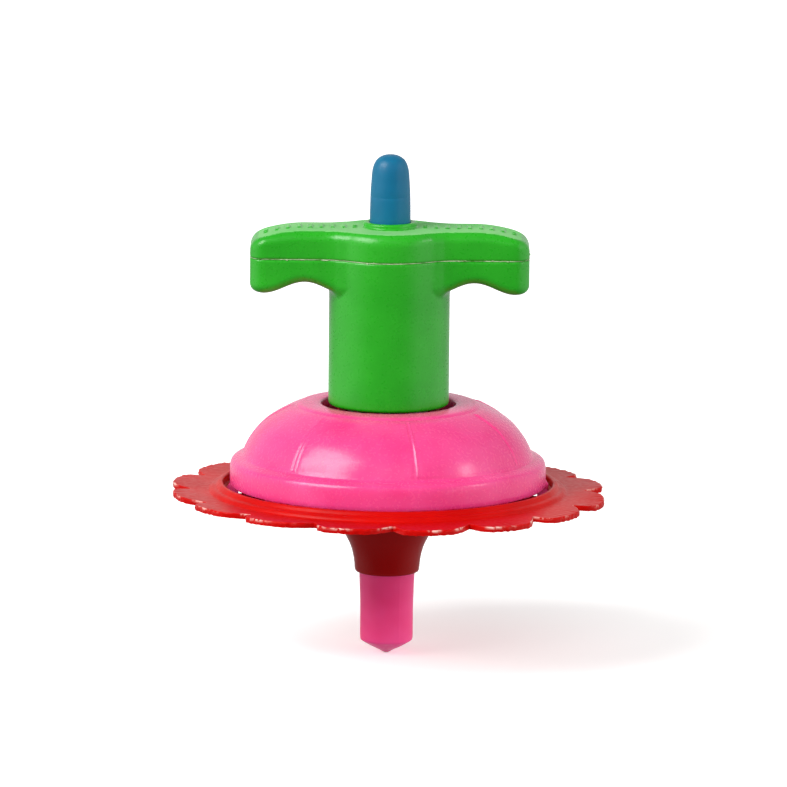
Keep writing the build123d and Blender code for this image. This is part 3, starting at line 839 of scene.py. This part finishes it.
# Four windows for the hooks: faces left out of the plate's two sides, and walls between
profile_r, profile_z = disc_profile.T
low_row = int(np.argmax((profile_r == WINDOW[0]) & (profile_z == PLATE[0])))
high_row = int(np.argmax((profile_r == WINDOW[1]) & (profile_z == PLATE[1])))
keep = np.ones(faces.shape[:2], bool)
walls = []
windows, half = 4, 24
for window in range(windows):
    columns = (window * DISC_COLUMNS // windows + np.arange(-half, half)) % DISC_COLUMNS
    keep[low_row, columns] = False
    keep[high_row, columns] = False
    for low, high in ((low_row, high_row + 1), (low_row + 1, high_row)):
        low_ring, high_ring = low * DISC_COLUMNS, high * DISC_COLUMNS
        for c in columns:
            n = (c + 1) % DISC_COLUMNS
            walls.append([low_ring + c, low_ring + n, high_ring + n, high_ring + c])
    for c in (columns[0], (columns[-1] + 1) % DISC_COLUMNS):
        corners = (low_row, low_row + 1, high_row, high_row + 1)
        walls.append([row * DISC_COLUMNS + c for row in corners])
quads = faces[keep].tolist() + [[int(i) for i in wall] for wall in walls]

# Pale torn flash with a painted highlight on it, in patches along the upper edge of the lobes
ring = 2 * pi * np.arange(DISC_COLUMNS) / DISC_COLUMNS
patches = np.clip(0.1 + 0.7 * ripple(ring, 41, 12, 60), 0, 1)
flash_and_glint = np.zeros((len(disc_profile), DISC_COLUMNS))
flash_and_glint[edge_to - 2:edge_to] = patches
flash_and_glint[edge_to - 3] = 0.4 * patches
disc = make(
    "flower_plate", verts, quads, "top", [red], sharp=SHARP, flash_and_glint=flash_and_glint.ravel(),
)
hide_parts("flower_disc")

# ---- stem and button -------------------------------------------------------------------

tip_line = curve([(1.4, 0.64), (2.6, 1.22), (3.7, 1.86), (4.08, 2.12)], 4)
stem_profile = [
    (0, 0.0), (0.35, 0.07), (0.8, 0.3), *tip_line,
    (4.22, 2.27), (4.28, 2.5), (4.3, 3.2), (4.3, 5.5), (4.3, 8.0), (4.4, 10.8), (4.5, 13.3),
    (4.48, HUB_FOOT), (3.6, HUB_FOOT), (3.6, 19.0), (3.6, stem_high.z - 0.3), (3.3, stem_high.z),
    (1.5, stem_high.z), (0, stem_high.z),
]


def stem_shape(r, z, angle):
    """A shaft that is a little out of round, with a faint parting line and an uneven cone."""
    parting = 0.025 * bell(turn(angle, radians(-62)), 0, 0.03)
    wobble = 0.02 * np.cos(2 * angle + 0.7) + parting
    dents = 0.05 * ripple(angle, 51, 2, 7) * bell(z, 1.5, 0.6)
    return r + wobble * (r > 3.9), z + dents * (r > 2)


STEM_COLUMNS = 192
verts = lathe(stem_profile, STEM_COLUMNS, stem_shape)
faces = ring_faces(len(stem_profile), STEM_COLUMNS, False).reshape(-1, 4)
stem = make("spin_stem_shaft", verts, faces.tolist(), "top", [pink_stem], sharp=SHARP)
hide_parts("spin_stem")

nose = curve(
    [
        (3.09, 78.0), (3.02, 79.0), (2.88, 79.85), (2.62, 80.6), (2.16, 81.3), (1.42, 81.8),
        (0.6, 82.04), (0, button_high.z),
    ],
    6,
)
button_profile = [
    (0, button_low.z), (ROD_R - 0.3, button_low.z), (ROD_R, button_low.z + 0.3), (ROD_R, 50.0),
    (ROD_R, 66.9), (2.0, FLANGE[0]), (4.6, FLANGE[0]), (FLANGE_R, 67.4), (FLANGE_R, 68.5),
    (4.6, FLANGE[1]), (3.5, FLANGE[1]), (3.3, 68.9), (3.3, 70.6), (3.3, 72.6), (3.26, 74.6),
    (3.25, 75.15), (3.23, 75.22), (3.23, 75.3), (3.24, 75.38), (3.2, 76.4), (3.15, 77.2),
    *nose,
]


def button_shape(r, z, angle):
    """A parting line down both sides and a small gate mark on the nose."""
    line = 0.02 * bell(turn(angle * 2, radians(50)), 0, 0.07)
    gate = 0.06 * bell(r, 0, 0.45) * (z > 81)
    return r + line * ((r > 2.4) & (z > 69)), z - gate


def slab(low, high, spin):
    """A block between two corners, with its edges cut back, turned about the axis."""
    work = bmesh.new()
    bmesh.ops.create_cube(work, size=1)
    for v in work.verts:
        v.co = [a + (b - a) * (share + 0.5) for a, b, share in zip(low, high, v.co)]
    bmesh.ops.bevel(
        work, geom=work.edges[:], offset=0.12, segments=2, profile=0.5, affect="EDGES",
    )
    bmesh.ops.rotate(work, verts=work.verts, matrix=Matrix.Rotation(spin, 3, "Z"))
    points = [tuple(v.co) for v in work.verts]
    corners = [[v.index for v in f.verts] for f in work.faces]
    work.free()
    return points, corners


BUTTON_COLUMNS = 160
verts = lathe(button_profile, BUTTON_COLUMNS, button_shape)
faces = ring_faces(len(button_profile), BUTTON_COLUMNS, False).reshape(-1, 4)
button = make(
    "push_button_bullet", verts, faces.tolist(), "button", [blue], sharp=SHARP,
)
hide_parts("push_button")

# The trip finger is an arm out from the flange and a finger down from it
arm = (4.0, -0.6, FLANGE[0]), (7.0, 0.6, FLANGE[1])
finger = (6.0, -0.6, 58.0), (7.0, 0.6, 67.6)
for low, high in (arm, finger):
    points, corners = slab(low, high, FINGER_TURN)
    cutter = make("finger", points, corners, "button", [blue])
    union = button.modifiers.new("union", "BOOLEAN")
    union.operation, union.object, union.solver = "UNION", cutter, "EXACT"
    bpy.context.view_layer.update()
    evaluated = button.evaluated_get(bpy.context.evaluated_depsgraph_get())
    merged = bpy.data.meshes.new_from_object(evaluated)
    button.modifiers.clear()
    button.data = merged
    bpy.data.objects.remove(cutter)
button.data.polygons.foreach_set("use_smooth", [True] * len(button.data.polygons))
button.data.set_sharp_from_angle(angle=radians(SHARP))

# ---- springs and inner pieces ----------------------------------------------------------

spring = bpy.data.objects.new("button_spring_coil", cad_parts["button_spring"].data.copy())
bpy.context.scene.collection.objects.link(spring)
spring.data.materials.clear()
spring.data.materials.append(steel)
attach(spring, "launcher")
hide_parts("button_spring")
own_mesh(spring)

inner = {
    "ratchet_pawl": steel, "mainspring": steel, "retaining_clip": steel, "thrust_washer": steel,
    "spindle": white, "ratchet_wheel": white, "end_bush": green_dark,
}
for node, material in inner.items():
    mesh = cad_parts[node].data
    if not mesh.materials:
        mesh.materials.append(material)
    for k in range(len(mesh.materials)):
        mesh.materials[k] = material

# ---- stage, light and camera -----------------------------------------------------------

scene = bpy.context.scene
scene.view_settings.view_transform = "Standard"

FLOOR_R, FLOOR_SIDES = 3.0, 96
floor_mesh = bpy.data.meshes.new("floor")
angles = [2 * pi * k / FLOOR_SIDES for k in range(FLOOR_SIDES)]
corners = [(FLOOR_R * cos(t), FLOOR_R * sin(t), 0) for t in angles]
floor_mesh.from_pydata(corners, [], [tuple(range(FLOOR_SIDES))])
floor = bpy.data.objects.new("floor", floor_mesh)
scene.collection.objects.link(floor)
floor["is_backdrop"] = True
floor.visible_diffuse = False
floor.visible_glossy = False

# Pale paper that glows more further from the object, so that it meets the white behind
material, tree, shader, coord = blank("pale_floor")
paper = noise(tree, coord, 25, 4)
paper_colour = ramp(tree, paper, 0.3, 0.7, [0.93, 0.925, 0.92, 1], [0.95, 0.945, 0.94, 1])
tree.links.new(paper_colour, shader.inputs["Base Color"])
shader.inputs["Roughness"].default_value = 0.9
shader.inputs["Specular IOR Level"].default_value = 0.0
shader.inputs["Emission Color"].default_value = (1, 1, 1, 1)
away = tree.nodes.new("ShaderNodeVectorMath")
away.operation = "LENGTH"
tree.links.new(coord.outputs["Object"], away.inputs[0])
paper_glow = span(tree, away.outputs["Value"], 0.06, 0.5, 0.4, 0.8)
tree.links.new(paper_glow, shader.inputs["Emission Strength"])
floor_mesh.materials.append(material)


def grey(value):
    """A grey as a colour."""
    return [value, value, value, 1]


# The camera sees a white world. The object is lit by one that is bright at both sides and
# behind, and dim all round otherwise
DIM = 0.26
world = bpy.data.worlds.new("studio")
scene.world = world
world.use_nodes = True
tree = world.node_tree
for node in list(tree.nodes):
    tree.nodes.remove(node)
path = tree.nodes.new("ShaderNodeLightPath")
seen = tree.nodes.new("ShaderNodeBackground")
lit = tree.nodes.new("ShaderNodeBackground")
blend = tree.nodes.new("ShaderNodeMixShader")
output = tree.nodes.new("ShaderNodeOutputWorld")
around = tree.nodes.new("ShaderNodeTexCoord")
seen.inputs["Color"].default_value = grey(1)
seen.inputs["Strength"].default_value = 1.0
lit.inputs["Color"].default_value = grey(1)
way = axes(tree, around.outputs["Generated"])
sides = ramp(tree, span(tree, way["X"], -1, 1, 0, 1), 0.0, 0.15, grey(1), grey(DIM))
panel = sides.node.color_ramp.elements
panel.new(0.78).color = grey(DIM)
panel.new(0.95).color = grey(0.95)
bright = calc(tree, "MAXIMUM", sides, span(tree, way["Y"], 0.5, 1.0, DIM, 0.8))
tree.links.new(bright, lit.inputs["Strength"])
tree.links.new(path.outputs["Is Camera Ray"], blend.inputs["Fac"])
tree.links.new(lit.outputs[0], blend.inputs[1])
tree.links.new(seen.outputs[0], blend.inputs[2])
tree.links.new(blend.outputs[0], output.inputs["Surface"])

centre = Vector((0, 0, 0.042))


def softbox(name, way, distance, width, height, power, gloss=True):
    """An area light at a direction and distance from the object, facing it."""
    data = bpy.data.lights.new(name, "AREA")
    data.shape = "RECTANGLE"
    data.size, data.size_y = width, height
    data.energy = power
    light = bpy.data.objects.new(name, data)
    scene.collection.objects.link(light)
    light.visible_glossy = gloss
    light.visible_camera = False
    light.location = centre + Vector(way).normalized() * distance
    light.rotation_mode = "QUATERNION"
    light.rotation_quaternion = (centre - light.location).to_track_quat("-Z", "Y")


# Only the first two show as highlights
softbox("key_left", (-0.66, -0.40, 0.66), 0.8, 0.52, 0.42, 5.6)
softbox("right_small", (0.855, -0.278, 0.438), 0.9, 0.13, 0.1, 0.6)
softbox("front_soft", (0.1, -0.8, 0.6), 1.2, 0.8, 0.4, 3.4, False)
softbox("low_right", (0.85, -0.6, 0.1), 1.2, 0.6, 0.3, 2.7, False)
softbox("low_left", (-0.8, -0.6, 0.1), 1.2, 0.6, 0.3, 1.2, False)
softbox("back_wall", (0, 1, 0.12), 1.3, 2.6, 0.5, 2.4, False)
# Light that the table throws back up at the stem, from just above the floor
softbox("table_bounce", (0, 0, -1), 0.0416, 0.05, 0.05, 0.002, False)

ELEVATION, ROLL = radians(9.75), radians(0.536)
DISTANCE = 1.413
AIM = Vector((0.0008, 0, 0.04284))
camera_data = bpy.data.cameras.new("view")
camera_data.lens = 398
camera_data.sensor_width = 36
camera_data.clip_start, camera_data.clip_end = 0.05, 20
camera = bpy.data.objects.new("view", camera_data)
scene.collection.objects.link(camera)
scene.camera = camera
back = Vector((0, -cos(ELEVATION), sin(ELEVATION)))
camera.location = AIM + back * DISTANCE
camera.rotation_mode = "QUATERNION"
roll = Matrix.Rotation(ROLL, 4, "Z").to_quaternion()
camera.rotation_quaternion = (-back).to_track_quat("-Z", "Y") @ roll

low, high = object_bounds()
